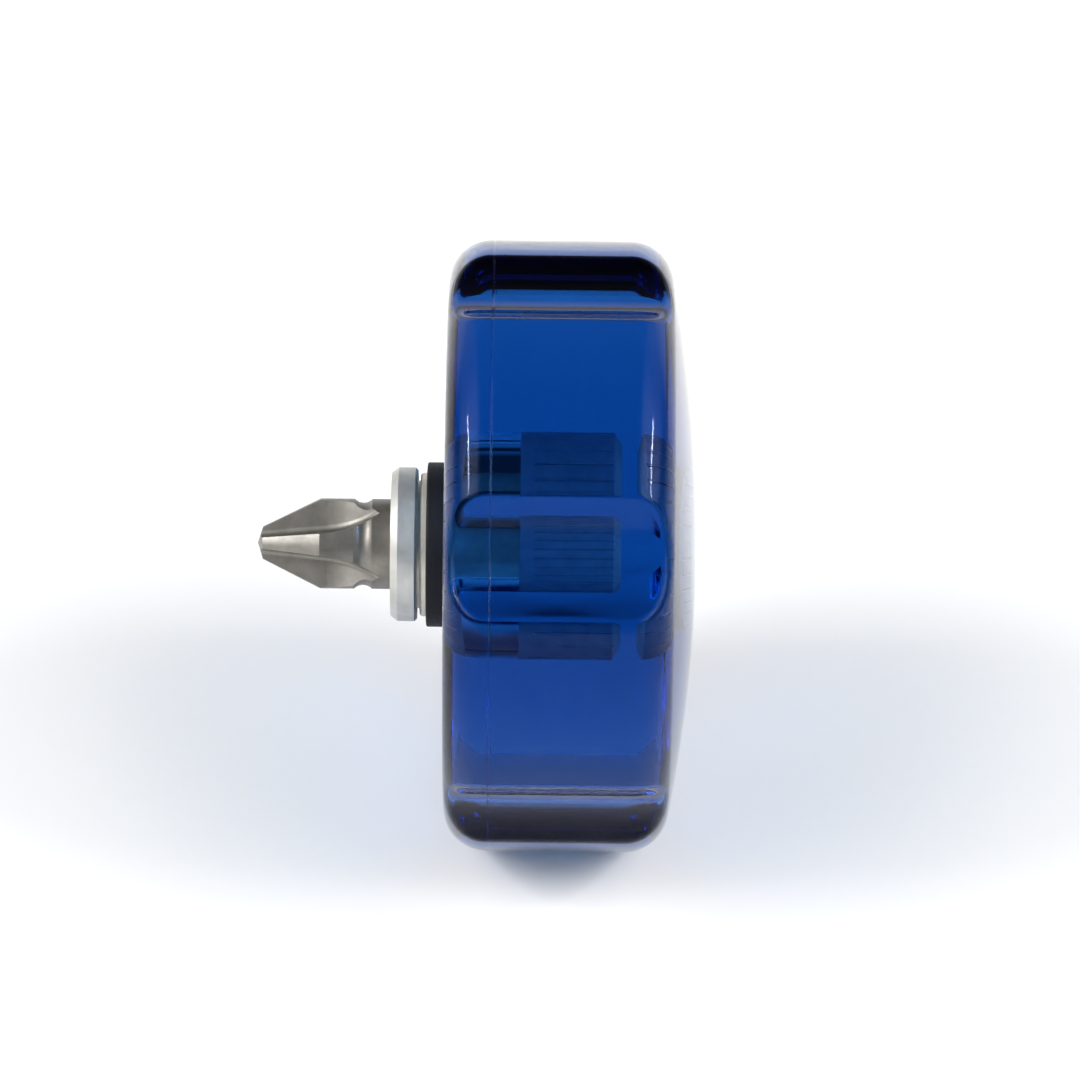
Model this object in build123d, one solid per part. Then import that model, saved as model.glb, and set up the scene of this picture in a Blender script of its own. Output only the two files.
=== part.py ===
from build123d import *
import math
import os

# Stubby palm screwdriver: a clear moulded knob on a steel bit holder, with a Phillips insert bit.
# Millimetres. The tool axis is X, the bit's tip is the origin, and the knob lies towards +X.
# The knob stands on its rim: one finger groove faces straight down, so two lobes carry it.

# --- driving dimensions -------------------------------------------------------------------

# insert bit, Phillips No. 2, 1/4 inch hex
bit_length = 25.0
bit_point_radius = 0.02
bit_blunt_radius = 1.15
bit_blunt_height = 0.35
bit_cone_half_angle = 26.5
bit_round_radius = 3.175
bit_ring_groove_start = 6.80
bit_ring_groove_end = 8.06
bit_ring_groove_depth = 0.27
bit_shoulder = 10.2
bit_hex_flats = 6.35
bit_hex_corner_radius = 3.55
bit_notch_from_tail = 7.8
bit_notch_width = 2.4
bit_notch_depth = 0.36
bit_tail_chamfer = 0.5
bit_tail_chamfer_slope = 1.2
bit_shoulder_slope = 1.7
wing_half_thickness = 0.36
wing_taper = 5.4
wing_straight_end = 4.9
flute_end = 8.6
flute_root_radius = 0.5
wing_angle = 60.0

# nose collar
collar_front = 9.40
collar_back = 11.25
collar_radius = 5.425
collar_bore_radius = 4.5
collar_front_chamfer_axial = 0.5
collar_front_chamfer_radial = 0.36
collar_back_chamfer = 0.17

# bit holder
holder_front = 9.6
neck_front = 11.45
neck_radius = 5.075
tail_front = 18.45
tail_radius = 4.45
holder_back = 24.95
socket_flats = 6.45
holder_edge = 0.15
clip_groove_radius = 4.42
clip_groove_width = 0.9

# spring clip in the socket wall
clip_inner_radius = 3.6
clip_outer_radius = 4.35
clip_width = 0.7
clip_gap_angle = 50.0

# black ring between holder and knob
ring_front = 11.90
ring_radius = 5.8
ring_edge = 0.15

# anchor cup on the holder's tail
cup_radius = 5.1
cup_floor = 0.45
cup_end_gap = 0.03
cup_chamfer = 0.55
cup_rib_count = 30
cup_rib_groove_radius = 0.12

# knob
knob_front = 13.28
knob_radius = 21.5
front_fillet = 3.0
land_end = 26.0
rear_fillet = 3.1
dome_radius = 100.0
groove_count = 6
groove_radius = 8.1
groove_floor = 19.93
groove_lip_fillet = 1.0
bore_clearance = 0.025

# --- shared positions -----------------------------------------------------------------------

ring_back = knob_front
notch_centre = bit_length - bit_notch_from_tail
cup_inside = bit_length + cup_end_gap
cup_back = cup_inside + cup_floor
bore_radius = neck_radius + bore_clearance
margin = 1.0
long_reach = 60.0
near_zero = 0.01


# --- helpers --------------------------------------------------------------------------------

def turned(*outline):
    """Solid of revolution about X from (x, radius) points, closed along the axis."""
    points = [(outline[0][0], 0.0), *outline, (outline[-1][0], 0.0)]
    face = make_face(Polyline(*points, close=True))
    return revolve(face, Axis.X)


def turned_ring(*outline):
    """Solid of revolution about X from a closed (x, radius) outline clear of the axis."""
    face = make_face(Polyline(*outline, close=True))
    return revolve(face, Axis.X)


def along_x(sketch, start, end):
    """Prism of a sketch drawn in the YZ plane, from x = start to x = end."""
    plane = Plane.YZ.offset(start)
    return extrude(plane * sketch, end - start)


def hexagon(flats):
    """Regular hexagon, across flats, with its corners level with the bit's wings."""
    return Rot(0, 0, wing_angle) * RegularPolygon(flats / 2, 6, major_radius=False)


def ring_groove(centre, width, depth, surface_radius):
    """Round-bottomed groove around the axis, to be cut from a shaft of surface_radius."""
    half = width / 2
    cutter = (half ** 2 + depth ** 2) / (2 * depth)
    circle = Pos(centre, surface_radius - depth + cutter) * Circle(cutter)
    return revolve(circle, Axis.X)


# --- bit --------------------------------------------------------------------------------------

def flute_profile():
    """Side view of one flute: the open space beyond the wing's half thickness."""
    slope = math.tan(math.radians(wing_taper))
    start = (-margin, wing_half_thickness - margin * slope)
    knee = (wing_straight_end, wing_half_thickness + wing_straight_end * slope)
    run_out = (flute_end, bit_round_radius / math.sqrt(2))
    top = 2 * bit_round_radius
    straight = Line(start, knee)
    curve = TangentArc(knee, run_out, tangent=straight % 1)
    beyond = run_out[0] + 2 * (top - run_out[1])
    rest = Polyline(run_out, (beyond, top), (-margin, top), start)
    return make_face(Curve() + [straight, curve, rest])


def flute_cutter():
    """Square-sided flute with a rounded root, between two neighbouring wings."""
    reach = 3 * bit_round_radius
    profile = flute_profile()
    upright = extrude(profile, reach, both=True)
    sideways = Rot(90, 0, 0) * upright
    cutter = upright & sideways
    root = [edge for edge in cutter.edges() if is_flute_root(edge)]
    return fillet(root, flute_root_radius)


def is_flute_root(edge):
    """True for the inner edges, where a flute's two walls meet."""
    middle = edge @ 0.5
    on_diagonal = abs(abs(middle.Y) - abs(middle.Z)) < near_zero
    runs_along = edge.bounding_box().size.X > margin
    return on_diagonal and runs_along and abs(middle.Y) < bit_round_radius


def bit():
    cone_run = (bit_round_radius - bit_blunt_radius) / math.tan(math.radians(bit_cone_half_angle))
    cone_end = bit_blunt_height + cone_run
    corner_rise = bit_hex_corner_radius - bit_round_radius
    round_part = turned(
        (0.0, bit_point_radius),
        (bit_blunt_height, bit_blunt_radius),
        (cone_end, bit_round_radius),
        (bit_shoulder, bit_round_radius),
    )
    envelope = turned(
        (bit_shoulder, bit_round_radius),
        (bit_shoulder + corner_rise * bit_shoulder_slope, bit_hex_corner_radius),
        (bit_length - bit_tail_chamfer, bit_hex_corner_radius),
        (bit_length, bit_hex_corner_radius - bit_tail_chamfer_slope * bit_tail_chamfer),
    )
    hex_part = along_x(hexagon(bit_hex_flats), bit_shoulder, bit_length) & envelope
    body = round_part + hex_part
    groove_centre = (bit_ring_groove_start + bit_ring_groove_end) / 2
    groove_width = bit_ring_groove_end - bit_ring_groove_start
    body -= ring_groove(groove_centre, groove_width, bit_ring_groove_depth, bit_round_radius)
    body -= ring_groove(notch_centre, bit_notch_width, bit_notch_depth, bit_hex_corner_radius)
    cutter = flute_cutter()
    for k in range(4):
        body -= Rot(wing_angle + 90 * k, 0, 0) * cutter
    return body


# --- holder and its small parts ---------------------------------------------------------------

def nose_collar():
    return turned_ring(
        (collar_front, collar_bore_radius),
        (collar_front, collar_radius - collar_front_chamfer_radial),
        (collar_front + collar_front_chamfer_axial, collar_radius),
        (collar_back - collar_back_chamfer, collar_radius),
        (collar_back, collar_radius - collar_back_chamfer),
        (collar_back, collar_bore_radius),
    )


def bit_holder():
    body = turned(
        (holder_front, collar_bore_radius),
        (neck_front, collar_bore_radius),
        (neck_front, neck_radius - holder_edge),
        (neck_front + holder_edge, neck_radius),
        (tail_front, neck_radius),
        (tail_front, tail_radius),
        (holder_back, tail_radius),
    )
    body -= along_x(hexagon(socket_flats), holder_front - margin, holder_back + margin)
    mouth_radius = socket_flats / math.sqrt(3) + holder_edge
    mouth_depth = 2 * holder_edge
    mouth = turned((holder_front, mouth_radius), (holder_front + mouth_depth, mouth_radius - mouth_depth))
    body -= mouth
    half = clip_groove_width / 2
    body -= along_x(Circle(clip_groove_radius), notch_centre - half, notch_centre + half)
    return body


def retaining_clip():
    ring = Circle(clip_outer_radius) - Circle(clip_inner_radius)
    half_gap = math.radians(clip_gap_angle / 2)
    reach = 2 * clip_outer_radius
    corner = (reach * math.cos(half_gap), reach * math.sin(half_gap))
    gap = make_face(Polyline((0, 0), corner, (corner[0], -corner[1]), close=True))
    return along_x(ring - gap, notch_centre - clip_width / 2, notch_centre + clip_width / 2)


def sealing_ring():
    return turned_ring(
        (ring_front, neck_radius),
        (ring_front, ring_radius - ring_edge),
        (ring_front + ring_edge, ring_radius),
        (ring_back, ring_radius),
        (ring_back, neck_radius),
    )


def anchor_cup():
    body = turned(
        (tail_front, cup_radius),
        (cup_back - cup_chamfer, cup_radius),
        (cup_back, cup_radius - cup_chamfer),
    )
    body -= along_x(Circle(tail_radius), tail_front, cup_inside)
    rib_groove = along_x(Circle(cup_rib_groove_radius), tail_front + margin, cup_back)
    for k in range(cup_rib_count):
        body -= Rot(360 * k / cup_rib_count, 0, 0) * Pos(0, cup_radius, 0) * rib_groove
    return body


# --- knob -------------------------------------------------------------------------------------

def knob_blank():
    """Turned blank: flat front, cylindrical rim, and a shallow dome tangent to the rear corner."""
    corner_radius = knob_radius - rear_fillet
    inner = dome_radius - rear_fillet
    dome_centre = land_end - math.sqrt(inner ** 2 - corner_radius ** 2)
    apex = dome_centre + dome_radius
    lean = math.atan2(corner_radius, land_end - dome_centre)
    join = (land_end + rear_fillet * math.cos(lean), corner_radius + rear_fillet * math.sin(lean))
    front_corner = (knob_front, knob_radius - front_fillet)
    land_start = (knob_front + front_fillet, knob_radius)
    land_stop = (land_end, knob_radius)
    outline = Curve() + [
        Line((knob_front, 0), front_corner),
        RadiusArc(front_corner, land_start, front_fillet),
        Line(land_start, land_stop),
        RadiusArc(land_stop, join, rear_fillet),
        RadiusArc(join, (apex, 0), dome_radius),
        Line((apex, 0), (knob_front, 0)),
    ]
    return revolve(make_face(outline), Axis.X)


def finger_groove(k):
    """Round-bottomed groove along the rim; groove 0 is half a step away from +Y."""
    angle = 360 * (k + 0.5) / groove_count
    bar = along_x(Circle(groove_radius), knob_front - margin, knob_front + long_reach)
    return Rot(angle, 0, 0) * Pos(0, groove_floor + groove_radius, 0) * bar


def is_groove_lip(edge):
    """True for the edges that the finger grooves leave on the blank."""
    middle = edge @ 0.5
    radius = math.hypot(middle.Y, middle.Z)
    return radius > groove_floor - margin / 2


def knob():
    body = knob_blank()
    for k in range(groove_count):
        body -= finger_groove(k)
    lips = [edge for edge in body.edges() if is_groove_lip(edge)]
    body = fillet(lips, groove_lip_fillet)
    shape_of_bore = turned(
        (knob_front - margin, bore_radius),
        (cup_back - cup_chamfer, bore_radius),
        (cup_back, bore_radius - cup_chamfer),
    )
    return body - shape_of_bore


# --- output -----------------------------------------------------------------------------------

pieces = {
    "knob": knob,
    "bit_holder": bit_holder,
    "nose_collar": nose_collar,
    "sealing_ring": sealing_ring,
    "anchor_cup": anchor_cup,
    "retaining_clip": retaining_clip,
    "bit": bit,
}

os.makedirs("parts", exist_ok=True)
for name, make in pieces.items():
    export_step(make(), f"parts/{name}.step")
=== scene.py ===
import math

import bpy
import numpy as np
from mathutils import Matrix, Vector


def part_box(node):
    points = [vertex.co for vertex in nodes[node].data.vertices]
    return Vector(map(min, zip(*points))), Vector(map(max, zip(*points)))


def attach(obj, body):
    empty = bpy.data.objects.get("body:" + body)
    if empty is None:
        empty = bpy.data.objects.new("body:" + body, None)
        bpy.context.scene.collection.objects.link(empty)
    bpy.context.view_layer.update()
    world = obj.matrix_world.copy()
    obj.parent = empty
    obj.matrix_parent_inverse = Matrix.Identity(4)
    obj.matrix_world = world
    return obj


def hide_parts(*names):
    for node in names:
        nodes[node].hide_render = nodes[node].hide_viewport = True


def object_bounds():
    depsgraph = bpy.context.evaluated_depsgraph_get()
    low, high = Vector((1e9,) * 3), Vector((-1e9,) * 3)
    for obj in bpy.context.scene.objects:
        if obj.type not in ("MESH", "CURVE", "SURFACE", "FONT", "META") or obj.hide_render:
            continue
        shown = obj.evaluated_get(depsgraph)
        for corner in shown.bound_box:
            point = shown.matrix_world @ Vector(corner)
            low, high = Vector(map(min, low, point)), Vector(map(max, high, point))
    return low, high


# Looks of the stubby palm screwdriver, in metres, in the CAD's own frame: the bit's tip is the
# origin and +X runs to the knob's domed back. The knob and the black ring are meshes made here;
# the other five pieces are the CAD's own meshes with a material.

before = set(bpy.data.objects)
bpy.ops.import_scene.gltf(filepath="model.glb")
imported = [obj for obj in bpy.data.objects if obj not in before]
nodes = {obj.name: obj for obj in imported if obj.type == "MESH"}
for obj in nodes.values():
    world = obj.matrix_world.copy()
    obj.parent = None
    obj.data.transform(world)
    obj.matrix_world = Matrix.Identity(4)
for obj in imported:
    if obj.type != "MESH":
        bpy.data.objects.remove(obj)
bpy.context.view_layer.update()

# --- sizes, in metres: the CAD boxes, and the CAD's driving dimensions ------------------------

MM = 0.001
knob_low, knob_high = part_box("knob")
ring_low, ring_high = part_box("sealing_ring")
cup_low, cup_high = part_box("anchor_cup")

KNOB_FRONT = knob_low.x
KNOB_APEX = knob_high.x
KNOB_RADIUS = knob_high.y
FRONT_FILLET = 3.0 * MM
REAR_FILLET = 3.1 * MM
DOME_RADIUS = 100.0 * MM
GROOVES = 6
GROOVE_RADIUS = 8.1 * MM
GROOVE_FLOOR = 19.93 * MM
LIP_FILLET = 1.0 * MM
BORE_RADIUS = 5.1 * MM
BORE_MOUTH_EDGE = 0.1 * MM

# the bore's wall round the cup, a little inside the cup's own surface, so that plastic and steel
# touch without two faces in one place
CUP_OVERLAP = 0.1 * MM
CUP_FLOOR_OVERLAP = 0.08 * MM
CUP_CHAMFER_RADIAL = 0.55 * MM
CUP_CHAMFER_AXIAL = 0.5 * MM
BORE_STEP_START = 0.02 * MM
BORE_STEP_END = 0.04 * MM

# parting line of the mould: a shallow groove round the rim, just behind the front corner
PARTING_OFFSET = 0.20 * MM
PARTING_DEPTH = 0.03 * MM
PARTING_WIDTH = 0.05 * MM

# black ring
RING_INNER = 5.09 * MM
RING_CORNER = 0.16 * MM
RING_BACK_GAP = 0.02 * MM

# how finely the meshes are divided
CORE_RADIUS = 15.0 * MM
RAY_REACH = 16.0 * MM
HALVINGS = 44
FRONT_CORNER_STEPS = 48
REAR_CORNER_STEPS = 60
LAND_POINTS = 30
PARTING_STEP = 0.02 * MM
PARTING_STEPS = 7
PARTING_CLEAR = 0.2 * MM
FACE_RADII = (7.0 * MM, 9.0 * MM, 11.0 * MM, 13.0 * MM)
DOME_RINGS = 16
SECTOR_SAMPLES = 1201
SECTOR_STEPS = 96
LIP_ANGLE = math.radians(11.3)
LIP_SPREAD = math.radians(2.6)
LIP_CROWDING = 2.2
RING_STEPS = 256
RING_CORNER_STEPS = 6

# edges that turn by more than this are shaded sharp
SHARP_DEGREES = 35.0
KNOB_SHARP_DEGREES = 32.0

# limits of the cosine between two surfaces that keep the lip's formula from dividing by zero
COSINE_LIMITS = (-0.999, 0.98)
TINY = 1e-12
POLE_RADIUS = 1e-9

# clear plastic
PLASTIC_IOR = 1.57
PLASTIC_SHEEN = (0.17, 0.19, 0.27, 1)
PLASTIC_COLOUR = (0.20, 0.60, 0.82, 1)
PLASTIC_DENSITY = 205.0

# the range that most of a noise texture's values lie in
NOISE_LOW = 0.3
NOISE_HIGH = 0.7

FLOOR_HALF = 3.0

# room light, as strengths; the limits are parts of the unit direction that the light comes from:
# ACROSS is its x without sign, ALONG its y, and HEIGHT its z. The camera looks towards +y.
# WING_FRONT and WING_BACK scale the broad side lights on the camera's side and at the back.
WING_LIGHT = 2.2
WING_FRONT = 1.7
WING_BACK = 0.2
WING_ACROSS = (0.30, 0.55)
WING_HEIGHT = (0.22, 0.45)
WING_ALONG = (-0.4, 0.4)
STRIP_LIGHT = 60.0
STRIP_START = (0.742, 0.748)
STRIP_END = (0.772, 0.778)
STRIP_FRONT = (-0.45, -0.40)
STRIP_BACK = (0.05, 0.10)
STRIP_HEIGHT = (0.0, 0.1)
HORIZON_FRONT = 0.22
HORIZON_BACK = 1.0
HORIZON_HEIGHT = (0.02, 0.20)
HORIZON_ALONG = (-0.1, 0.6)
WALL_LIGHT = 0.8
WALL_HEIGHT = (0.35, 0.60)
WALL_ALONG = (0.35, 0.65)
OVERHEAD_FRONT = 0.03
OVERHEAD_BACK = 0.10
OVERHEAD_ALONG = (-0.9, 0.9)

# camera, matched to the photograph
CAMERA_ELEVATION = math.radians(32.2)
CAMERA_ROLL = math.radians(0.65)
CAMERA_DISTANCE = 0.500
CAMERA_AIM_X = 19.86 * MM
CAMERA_AIM_UP = 0.40 * MM
CAMERA_SENSOR = 36.0
CAMERA_LENS = 236.6
CAMERA_CLIP_START = 0.01


# --- mesh helpers -----------------------------------------------------------------------------

def mesh_object(name, points, faces, sharp_degrees=SHARP_DEGREES):
    """New smooth-shaded mesh object from points and faces."""
    mesh = bpy.data.meshes.new(name)
    mesh.from_pydata([tuple(p) for p in points], [], faces)
    mesh.validate()
    mesh.polygons.foreach_set("use_smooth", [True] * len(mesh.polygons))
    mesh.set_sharp_from_angle(angle=math.radians(sharp_degrees))
    mesh.update()
    piece = bpy.data.objects.new(name, mesh)
    bpy.context.scene.collection.objects.link(piece)
    return piece


def row_faces(rows, closed):
    """Quads between neighbouring rings of points, and triangles where a ring is a pole."""
    faces = []
    pairs = list(zip(rows, rows[1:]))
    if closed:
        pairs.append((rows[-1], rows[0]))
    for low, high in pairs:
        count = len(low)
        for k in range(count):
            n = (k + 1) % count
            corners = [low[k], low[n], high[n], high[k]]
            face = [c for i, c in enumerate(corners) if c not in corners[:i]]
            if len(face) > 2:
                faces.append(tuple(face))
    return faces


def turned_ring(name, outline):
    """Ring turned about X from a closed outline of (x, radius) points clear of the axis."""
    points, rows = [], []
    angles = [2 * math.pi * k / RING_STEPS for k in range(RING_STEPS)]
    for x, radius in outline:
        rows.append(list(range(len(points), len(points) + RING_STEPS)))
        points.extend((x, radius * math.cos(a), radius * math.sin(a)) for a in angles)
    return mesh_object(name, points, row_faces(rows, True))


# --- knob -------------------------------------------------------------------------------------

def dome_centre():
    return KNOB_APEX - DOME_RADIUS


def land_end():
    """Where the straight rim ends and the rear corner starts."""
    inner = DOME_RADIUS - REAR_FILLET
    return dome_centre() + math.sqrt(inner ** 2 - (KNOB_RADIUS - REAR_FILLET) ** 2)


def blank_field(x, r):
    """Distance outside the ungrooved knob, and the outward normal's x and r parts."""
    fx, fr = KNOB_FRONT + FRONT_FILLET, KNOB_RADIUS - FRONT_FILLET
    bx, br = land_end(), KNOB_RADIUS - REAR_FILLET
    lean = math.atan2(br, bx - dome_centre())
    front_corner = np.hypot(x - fx, r - fr)
    rear_corner = np.hypot(x - bx, r - br)
    dome = np.hypot(x - dome_centre(), r)
    in_front = (x <= fx) & (r >= fr)
    on_face = (x <= fx) & (r < fr)
    on_land = (x > fx) & (x <= bx)
    in_rear = (x > bx) & (np.arctan2(r - br, x - bx) >= lean)
    choices = [in_front, on_face, on_land, in_rear]
    distance = np.select(
        choices,
        [front_corner - FRONT_FILLET, KNOB_FRONT - x, r - KNOB_RADIUS, rear_corner - REAR_FILLET],
        dome - DOME_RADIUS,
    )
    zero = np.zeros_like(x)
    nx = np.select(
        choices,
        [(x - fx) / (front_corner + TINY), zero - 1, zero, (x - bx) / (rear_corner + TINY)],
        (x - dome_centre()) / dome,
    )
    nr = np.select(
        choices,
        [(r - fr) / (front_corner + TINY), zero, zero + 1, (r - br) / (rear_corner + TINY)],
        r / dome,
    )
    return distance, nx, nr


def knob_field(x, r, angle):
    """Signed distance outside the grooved knob; angle is measured from a groove's centre line."""
    blank, nx, nr = blank_field(x, r)
    centre = GROOVE_FLOOR + GROOVE_RADIUS
    u = r * np.cos(angle) - centre
    v = r * np.sin(angle)
    away = np.hypot(u, v)
    groove = GROOVE_RADIUS - away
    toward = -(u * np.cos(angle) + v * np.sin(angle)) / away
    cosine = np.clip(nr * toward, *COSINE_LIMITS)
    # where both surfaces are near, the distance to a fillet rolled along the corner between them
    a = blank + LIP_FILLET
    b = groove + LIP_FILLET
    span = 1 - cosine ** 2
    share_a = (a - cosine * b) / span
    share_b = (b - cosine * a) / span
    rolled = np.sqrt(np.maximum(a * a + b * b - 2 * a * b * cosine, 0) / span) - LIP_FILLET
    sharp = np.maximum(blank, groove)
    field = np.where((share_a > 0) & (share_b > 0), rolled, sharp)
    parting = KNOB_FRONT + FRONT_FILLET + PARTING_OFFSET
    return field + PARTING_DEPTH * np.exp(-((x - parting) / PARTING_WIDTH) ** 2)


def rim_rays():
    """Start points and directions, in the (x, r) half plane, that sweep round the knob's rim."""
    front, rear = KNOB_FRONT + FRONT_FILLET, land_end()
    parting = front + PARTING_OFFSET
    fine = [parting + k * PARTING_STEP for k in range(-PARTING_STEPS, PARTING_STEPS + 1)]
    coarse = list(np.linspace(front, rear, LAND_POINTS)[1:-1])
    land = sorted(fine + [x for x in coarse if abs(x - parting) > PARTING_CLEAR])
    rays = []
    for k in range(FRONT_CORNER_STEPS + 1):
        a = math.pi - math.pi / 2 * k / FRONT_CORNER_STEPS
        rays.append((front, CORE_RADIUS, math.cos(a), math.sin(a)))
    rays += [(x, CORE_RADIUS, 0.0, 1.0) for x in land]
    for k in range(REAR_CORNER_STEPS + 1):
        a = math.pi / 2 * (1 - k / REAR_CORNER_STEPS)
        rays.append((rear, CORE_RADIUS, math.cos(a), math.sin(a)))
    return np.array(rays)


def sector_angles():
    """Angles across one groove's sector, closest together over the groove's lips."""
    half = math.pi / GROOVES
    even = np.linspace(-half, half, SECTOR_SAMPLES)
    density = 1 + LIP_CROWDING * np.exp(-((np.abs(even) - LIP_ANGLE) / LIP_SPREAD) ** 2)
    total = np.concatenate([[0], np.cumsum((density[1:] + density[:-1]) / 2)])
    return np.interp(np.arange(SECTOR_STEPS) / SECTOR_STEPS * total[-1], total, even)


def rim_points(rays, angles):
    """x and radius where each ray, at each angle, leaves the knob, found by halving."""
    low = np.zeros((len(rays), len(angles)))
    high = np.full_like(low, RAY_REACH)
    x0, r0, dx, dr = (rays[:, column, None] for column in range(4))
    for _ in range(HALVINGS):
        middle = (low + high) / 2
        outside = knob_field(x0 + middle * dx, r0 + middle * dr, angles[None, :]) > 0
        high = np.where(outside, middle, high)
        low = np.where(outside, low, middle)
    return x0 + low * dx, r0 + low * dr


def bore_outline():
    """The bore from its floor to its mouth, as (x, radius) points."""
    contact = BORE_RADIUS - CUP_OVERLAP
    step = cup_low.x
    floor = cup_high.x - CUP_FLOOR_OVERLAP
    return [
        (floor, 0.0),
        (floor, contact / 2),
        (floor, contact - CUP_CHAMFER_RADIAL),
        (floor - CUP_CHAMFER_AXIAL, contact),
        (step + BORE_STEP_END, contact),
        (step + BORE_STEP_START, BORE_RADIUS),
        (KNOB_FRONT + BORE_MOUTH_EDGE, BORE_RADIUS),
        (KNOB_FRONT, BORE_RADIUS + BORE_MOUTH_EDGE),
    ]


def knob_rows():
    """Rings of x and radius, from the bore's floor round the outside to the dome's apex.

    Also gives the angle about the axis of each point in a ring."""
    angles = np.concatenate([sector_angles() for _ in range(GROOVES)])
    sector = np.repeat(np.arange(GROOVES) + 0.5, SECTOR_STEPS) * 2 * math.pi / GROOVES
    turn = angles + sector
    flat = np.ones_like(turn)
    face = [(KNOB_FRONT, radius) for radius in FACE_RADII]
    rows = [(x * flat, radius * flat) for x, radius in bore_outline() + face]
    rows += list(zip(*rim_points(rim_rays(), angles)))
    for share in np.linspace(1, 0, DOME_RINGS)[1:]:
        radius = CORE_RADIUS * share
        x = dome_centre() + math.sqrt(DOME_RADIUS ** 2 - radius ** 2)
        rows.append((x * flat, radius * flat))
    return rows, turn


def make_knob():
    rows, turn = knob_rows()
    points, rings = [], []
    for x, r in rows:
        if r[0] <= POLE_RADIUS:
            rings.append([len(points)] * len(turn))
            points.append((float(x[0]), 0.0, 0.0))
            continue
        rings.append(list(range(len(points), len(points) + len(turn))))
        points.extend(zip(x, r * np.cos(turn), r * np.sin(turn)))
    piece = mesh_object("knob_shell", points, row_faces(rings, False), KNOB_SHARP_DEGREES)
    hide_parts("knob")
    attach(piece, "driver")
    return piece


def make_black_ring():
    """Rubber washer with rounded outer corners, a hair clear of the knob's face."""
    front, back = ring_low.x, ring_high.x - RING_BACK_GAP
    corner = RING_CORNER
    shoulder = ring_high.y - corner
    turns = [math.pi / 2 * k / RING_CORNER_STEPS for k in range(RING_CORNER_STEPS + 1)]
    outline = [(front, RING_INNER)]
    outline += [(front + corner * (1 - math.cos(a)), shoulder + corner * math.sin(a)) for a in turns]
    outline += [(back - corner * (1 - math.sin(a)), shoulder + corner * math.cos(a)) for a in turns]
    outline.append((back, RING_INNER))
    piece = turned_ring("black_ring", outline)
    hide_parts("sealing_ring")
    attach(piece, "driver")
    return piece


# --- materials --------------------------------------------------------------------------------

class Tree:
    """A material under construction: adds shader nodes and wires them to one Principled shader."""

    def __init__(self, name):
        self.material = bpy.data.materials.new(name)
        self.material.use_nodes = True
        self.tree = self.material.node_tree
        self.tree.nodes.clear()
        self.output = self.tree.nodes.new("ShaderNodeOutputMaterial")
        self.shader = self.tree.nodes.new("ShaderNodeBsdfPrincipled")
        self.tree.links.new(self.shader.outputs["BSDF"], self.output.inputs["Surface"])
        self.place = self.tree.nodes.new("ShaderNodeTexCoord").outputs["Object"]

    def set(self, socket, value):
        """Gives a shader socket one value."""
        self.shader.inputs[socket].default_value = value

    def drive(self, socket, source):
        """Wires a shader socket to a node's output."""
        self.tree.links.new(source, self.shader.inputs[socket])

    def noise(self, scale, detail, roughness=0.5, stretch=(1, 1, 1)):
        """Noise over the object's own coordinates, stretched by the given scales."""
        mapping = self.tree.nodes.new("ShaderNodeMapping")
        mapping.inputs["Scale"].default_value = stretch
        self.tree.links.new(self.place, mapping.inputs["Vector"])
        node = self.tree.nodes.new("ShaderNodeTexNoise")
        node.inputs["Scale"].default_value = scale
        node.inputs["Detail"].default_value = detail
        node.inputs["Roughness"].default_value = roughness
        self.tree.links.new(mapping.outputs["Vector"], node.inputs["Vector"])
        return node.outputs["Fac"]

    def spread(self, value, low, high):
        """Maps a noise value to the range from low to high."""
        node = self.tree.nodes.new("ShaderNodeMapRange")
        node.inputs["From Min"].default_value = NOISE_LOW
        node.inputs["From Max"].default_value = NOISE_HIGH
        node.inputs["To Min"].default_value = low
        node.inputs["To Max"].default_value = high
        self.tree.links.new(value, node.inputs["Value"])
        return node.outputs["Result"]

    def mottle(self, value, dark, light, start=NOISE_LOW, stop=NOISE_HIGH):
        """Colour that runs from dark, where the value is start, to light, where it is stop."""
        node = self.tree.nodes.new("ShaderNodeValToRGB")
        first, last = node.color_ramp.elements
        first.position, last.position = start, stop
        first.color = (*dark, 1.0)
        last.color = (*light, 1.0)
        self.tree.links.new(value, node.inputs["Fac"])
        return node.outputs["Color"]

    def bump(self, value, strength, distance):
        node = self.tree.nodes.new("ShaderNodeBump")
        node.inputs["Strength"].default_value = strength
        node.inputs["Distance"].default_value = distance
        self.tree.links.new(value, node.inputs["Height"])
        return node.outputs["Normal"]


def clear_blue_plastic():
    """Clear moulding: its colour is all absorption, with a faint haze and faint flow marks."""
    m = Tree("clear_blue_plastic")
    m.set("Base Color", (1, 1, 1, 1))
    m.set("Transmission Weight", 1.0)
    m.set("IOR", PLASTIC_IOR)
    m.set("Specular Tint", PLASTIC_SHEEN)
    haze = m.noise(scale=260.0, detail=2.0)
    m.drive("Roughness", m.spread(haze, low=0.0, high=0.03))
    flow = m.noise(scale=420.0, detail=2.0, stretch=(0.35, 1, 1))
    m.drive("Normal", m.bump(flow, strength=0.12, distance=0.02 * MM))
    volume = m.tree.nodes.new("ShaderNodeVolumeAbsorption")
    volume.inputs["Color"].default_value = PLASTIC_COLOUR
    volume.inputs["Density"].default_value = PLASTIC_DENSITY
    m.tree.links.new(volume.outputs["Volume"], m.output.inputs["Volume"])
    return m.material


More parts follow.
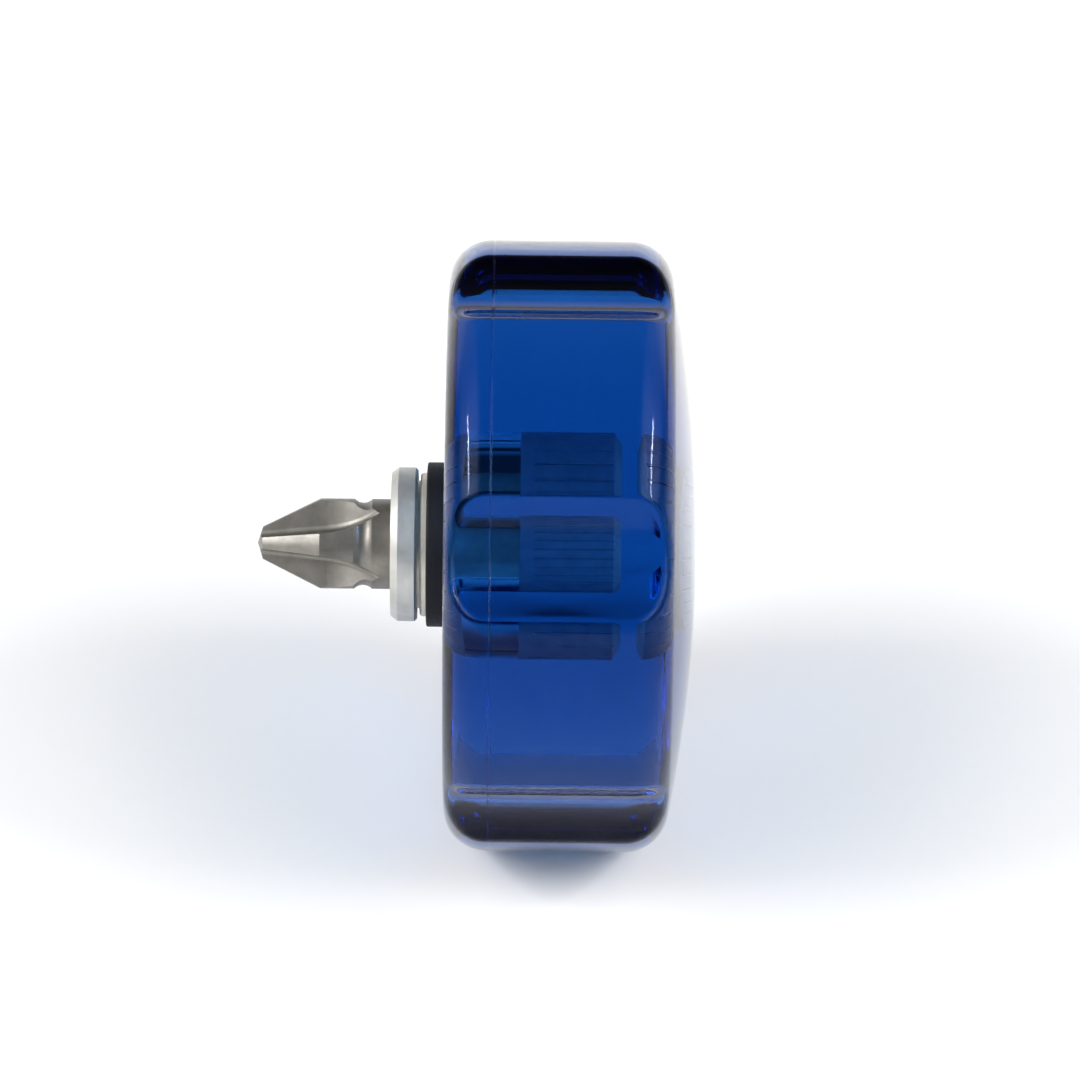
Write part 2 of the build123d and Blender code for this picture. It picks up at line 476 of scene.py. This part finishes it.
def turned_steel(name, dark, light, metallic, roughness, ring_scale, ring_depth):
    """Steel with fine rings left by the lathe, and a little mottling."""
    m = Tree(name)
    rings = m.noise(scale=ring_scale, detail=4.0, roughness=0.65, stretch=(1, 0.02, 0.02))
    patches = m.noise(scale=900.0, detail=3.0)
    m.drive("Base Color", m.mottle(patches, dark, light, start=0.25, stop=0.75))
    m.set("Metallic", metallic)
    m.drive("Roughness", m.spread(rings, *roughness))
    m.drive("Normal", m.bump(rings, strength=0.35, distance=ring_depth))
    return m.material


def bit_steel_satin():
    """Blasted and ground tool steel of the bit, warm grey with a fine grain."""
    m = Tree("bit_steel_satin")
    grain = m.noise(scale=9000.0, detail=3.0, roughness=0.6)
    patches = m.noise(scale=700.0, detail=4.0, roughness=0.6)
    m.drive("Base Color", m.mottle(patches, (0.20, 0.19, 0.17), (0.30, 0.285, 0.26)))
    m.set("Metallic", 0.85)
    m.drive("Roughness", m.spread(grain, low=0.38, high=0.52))
    m.drive("Normal", m.bump(grain, strength=0.25, distance=0.01 * MM))
    return m.material


def black_rubber():
    """Matt black moulding with a fine grain."""
    m = Tree("black_rubber")
    grain = m.noise(scale=5000.0, detail=3.0)
    m.drive("Base Color", m.mottle(grain, (0.004, 0.004, 0.006), (0.010, 0.010, 0.014)))
    m.drive("Roughness", m.spread(grain, low=0.5, high=0.7))
    m.set("Specular IOR Level", 0.25)
    m.drive("Normal", m.bump(grain, strength=0.2, distance=0.02 * MM))
    return m.material


def floor_paper():
    """Matt white paper."""
    m = Tree("floor_paper")
    grain = m.noise(scale=30.0, detail=2.0)
    m.drive("Base Color", m.mottle(grain, (0.90, 0.90, 0.90), (0.92, 0.92, 0.92)))
    m.set("Roughness", 0.9)
    m.set("Specular IOR Level", 0.0)
    return m.material


def paint(piece, material):
    """Gives a piece made here its one material."""
    piece.data.materials.clear()
    piece.data.materials.append(material)


def paint_cad(name, material):
    """Gives a CAD node its material through the slots it came with."""
    for slot in nodes[name].material_slots:
        slot.material = material


# --- object -----------------------------------------------------------------------------------

knob = make_knob()
black_ring = make_black_ring()

paint(knob, clear_blue_plastic())
paint(black_ring, black_rubber())
paint_cad("bit", bit_steel_satin())
paint_cad("nose_collar", turned_steel(
    "collar_bright",
    dark=(0.54, 0.53, 0.50),
    light=(0.66, 0.65, 0.62),
    metallic=0.80,
    roughness=(0.40, 0.56),
    ring_scale=9000.0,
    ring_depth=0.006 * MM,
))
paint_cad("bit_holder", turned_steel(
    "holder_turned",
    dark=(0.70, 0.66, 0.58),
    light=(0.84, 0.80, 0.72),
    metallic=0.55,
    roughness=(0.36, 0.48),
    ring_scale=7000.0,
    ring_depth=0.01 * MM,
))
paint_cad("retaining_clip", turned_steel(
    "clip_spring",
    dark=(0.32, 0.32, 0.33),
    light=(0.46, 0.46, 0.47),
    metallic=1.0,
    roughness=(0.3, 0.45),
    ring_scale=5000.0,
    ring_depth=0.01 * MM,
))
paint_cad("anchor_cup", turned_steel(
    "cup_satin",
    dark=(0.54, 0.51, 0.64),
    light=(0.64, 0.61, 0.74),
    metallic=0.5,
    roughness=(0.62, 0.72),
    ring_scale=3000.0,
    ring_depth=0.002 * MM,
))

# --- stage ------------------------------------------------------------------------------------

floor_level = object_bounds()[0].z


def make_floor():
    corners = [(-1, -1), (1, -1), (1, 1), (-1, 1)]
    points = [(x * FLOOR_HALF, y * FLOOR_HALF, floor_level) for x, y in corners]
    piece = mesh_object("floor", points, [(0, 1, 2, 3)])
    paint(piece, floor_paper())


class Sky:
    """The world under construction: adds nodes that turn a direction into a brightness."""

    def __init__(self, name):
        world = bpy.data.worlds.new(name)
        bpy.context.scene.world = world
        world.use_nodes = True
        self.tree = world.node_tree
        self.tree.nodes.clear()
        place = self.tree.nodes.new("ShaderNodeTexCoord")
        parts = self.tree.nodes.new("ShaderNodeSeparateXYZ")
        self.tree.links.new(place.outputs["Generated"], parts.inputs["Vector"])
        side = self.tree.nodes.new("ShaderNodeMath")
        side.operation = "ABSOLUTE"
        self.tree.links.new(parts.outputs["X"], side.inputs[0])
        self.across = side.outputs["Value"]
        self.along = parts.outputs["Y"]
        self.height = parts.outputs["Z"]

    def step(self, value, limits, low, high):
        """Smooth step from low, where the value is limits[0], to high, where it is limits[1]."""
        node = self.tree.nodes.new("ShaderNodeMapRange")
        node.interpolation_type = "SMOOTHSTEP"
        node.inputs["From Min"].default_value = limits[0]
        node.inputs["From Max"].default_value = limits[1]
        node.inputs["To Min"].default_value = low
        node.inputs["To Max"].default_value = high
        self.tree.links.new(value, node.inputs["Value"])
        return node.outputs["Result"]

    def combine(self, operation, *values):
        """All values put together, two at a time, by one math operation."""
        total = values[0]
        for value in values[1:]:
            node = self.tree.nodes.new("ShaderNodeMath")
            node.operation = operation
            self.tree.links.new(total, node.inputs[0])
            self.tree.links.new(value, node.inputs[1])
            total = node.outputs["Value"]
        return total

    def shine(self, strength):
        """White background of the given strength."""
        background = self.tree.nodes.new("ShaderNodeBackground")
        background.inputs["Color"].default_value = (1.0, 1.0, 1.0, 1.0)
        out = self.tree.nodes.new("ShaderNodeOutputWorld")
        self.tree.links.new(strength, background.inputs["Strength"])
        self.tree.links.new(background.outputs["Background"], out.inputs["Surface"])


def make_world():
    """Dark room, lighter low down behind, with a broad light and a bright strip on each side."""
    sky = Sky("studio")
    wing = sky.combine(
        "MULTIPLY",
        sky.step(sky.across, WING_ACROSS, 0.0, WING_LIGHT),
        sky.step(sky.height, WING_HEIGHT, 0.0, 1.0),
        sky.step(sky.along, WING_ALONG, WING_FRONT, WING_BACK),
    )
    strip = sky.combine(
        "MULTIPLY",
        sky.step(sky.across, STRIP_START, 0.0, STRIP_LIGHT),
        sky.step(sky.across, STRIP_END, 1.0, 0.0),
        sky.step(sky.along, STRIP_FRONT, 0.0, 1.0),
        sky.step(sky.along, STRIP_BACK, 1.0, 0.0),
        sky.step(sky.height, STRIP_HEIGHT, 0.0, 1.0),
    )
    horizon = sky.combine(
        "MULTIPLY",
        sky.step(sky.height, HORIZON_HEIGHT, 1.0, 0.0),
        sky.step(sky.along, HORIZON_ALONG, HORIZON_FRONT, HORIZON_BACK),
    )
    back_wall = sky.combine(
        "MULTIPLY",
        sky.step(sky.height, WALL_HEIGHT, WALL_LIGHT, 0.0),
        sky.step(sky.along, WALL_ALONG, 0.0, 1.0),
    )
    overhead = sky.step(sky.along, OVERHEAD_ALONG, OVERHEAD_FRONT, OVERHEAD_BACK)
    sky.shine(sky.combine("MAXIMUM", wing, strip, horizon, back_wall, overhead))


def make_camera():
    back = Vector((0.0, -math.cos(CAMERA_ELEVATION), math.sin(CAMERA_ELEVATION)))
    up = Vector((0.0, math.sin(CAMERA_ELEVATION), math.cos(CAMERA_ELEVATION)))
    right = Vector((1.0, 0.0, 0.0))
    aim = right * CAMERA_AIM_X + up * CAMERA_AIM_UP
    turned_right = right * math.cos(CAMERA_ROLL) + up * math.sin(CAMERA_ROLL)
    turned_up = up * math.cos(CAMERA_ROLL) - right * math.sin(CAMERA_ROLL)
    basis = Matrix((turned_right, turned_up, back)).transposed().to_4x4()
    camera_data = bpy.data.cameras.new("camera")
    camera_data.sensor_width = CAMERA_SENSOR
    camera_data.lens = CAMERA_LENS
    camera_data.clip_start = CAMERA_CLIP_START
    camera_data.dof.use_dof = False
    camera = bpy.data.objects.new("camera", camera_data)
    camera.matrix_world = Matrix.Translation(aim + back * CAMERA_DISTANCE) @ basis
    bpy.context.scene.collection.objects.link(camera)
    bpy.context.scene.camera = camera


make_floor()
make_world()
make_camera()

scene = bpy.context.scene
scene.view_settings.view_transform = "Standard"
scene.view_settings.look = "None"
scene.view_settings.exposure = 0.0
scene.cycles.max_bounces = 24
scene.cycles.transmission_bounces = 24
scene.cycles.glossy_bounces = 8
scene.cycles.sample_clamp_indirect = 6.0
